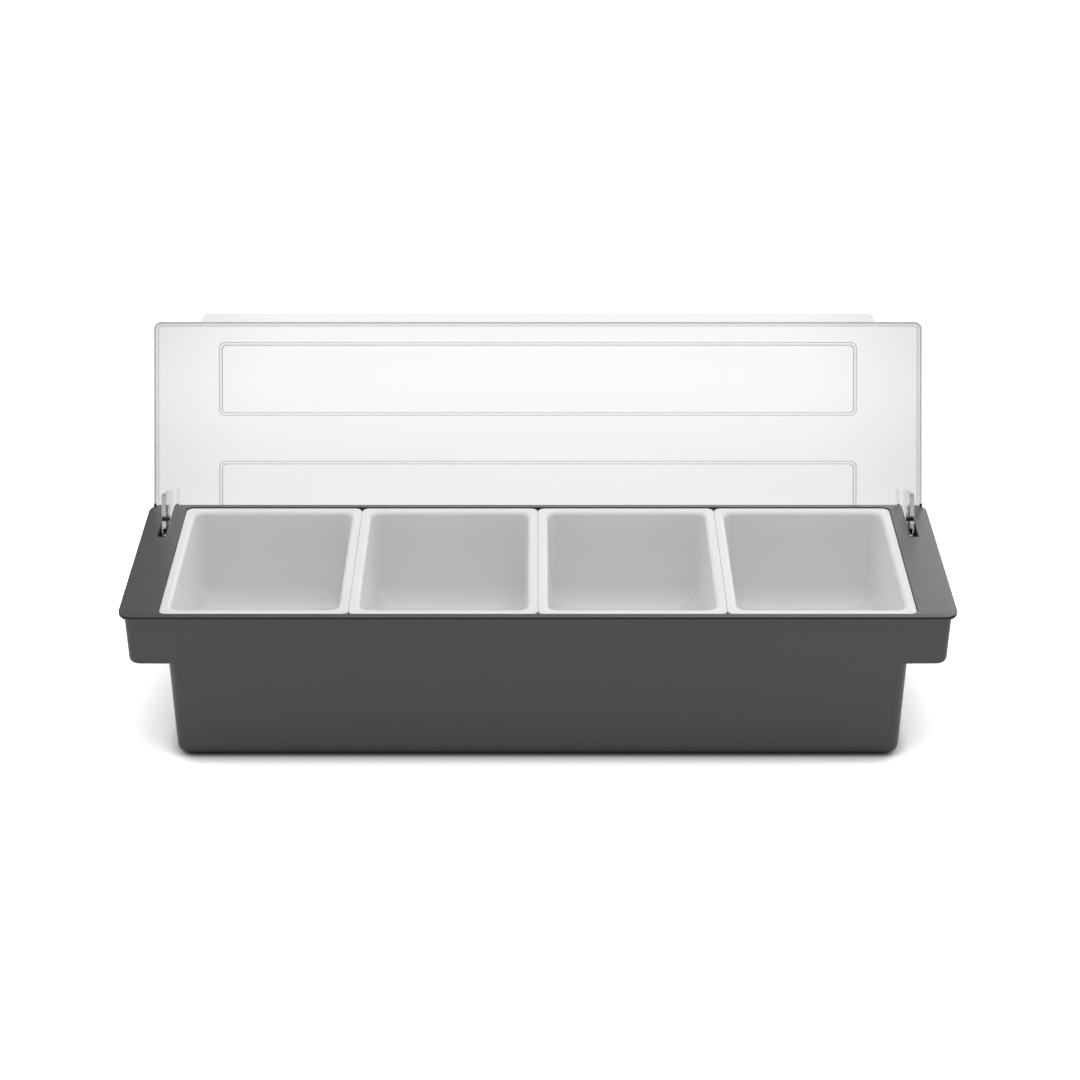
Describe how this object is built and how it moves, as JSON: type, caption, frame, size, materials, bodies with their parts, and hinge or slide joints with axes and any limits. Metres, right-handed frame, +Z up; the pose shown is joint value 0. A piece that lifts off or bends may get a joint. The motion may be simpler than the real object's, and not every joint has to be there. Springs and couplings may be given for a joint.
{
  "type": "condiment caddy",
  "caption": "Bar-top condiment caddy: an open trough on a wide deck, lift-out inserts hanging in a row, and a clear lid hinged along the rear edge.",
  "frame": {"origin": "centre of the underside of the trough, on the table", "axes": "+Z up, +X along the row of inserts, -Y toward the front where the lid is lifted"},
  "size_m": [0.495, 0.1995, 0.2111],
  "materials": {
    "housing_plastic": "semi-gloss moulded plastic, dark grey",
    "clear_lid": "clear polycarbonate, polished",
    "insert_plastic": "white moulded plastic, soft sheen"
  },
  "bodies": {
    "housing": {"housing": "housing_plastic"},
    "lid": {"lid": "clear_lid"},
    "insert_1": {"insert_1": "insert_plastic"},
    "insert_2": {"insert_2": "insert_plastic"},
    "insert_3": {"insert_3": "insert_plastic"},
    "insert_4": {"insert_4": "insert_plastic"}
  },
  "joints": [
    {"name": "lid_hinge", "type": "hinge", "parent": "housing", "child": "lid", "pos_m": [0, 0.0584, 0.098], "axis": [-1, 0, 0], "range_deg": [-118, 0]},
    {"name": "insert_1_lift", "type": "slide", "parent": "housing", "child": "insert_1", "axis": [0, 0, 1], "range_m": [0, 0.11]},
    {"name": "insert_2_lift", "type": "slide", "parent": "housing", "child": "insert_2", "axis": [0, 0, 1], "range_m": [0, 0.11]},
    {"name": "insert_3_lift", "type": "slide", "parent": "housing", "child": "insert_3", "axis": [0, 0, 1], "range_m": [0, 0.11]},
    {"name": "insert_4_lift", "type": "slide", "parent": "housing", "child": "insert_4", "axis": [0, 0, 1], "range_m": [0, 0.11]}
  ]
}
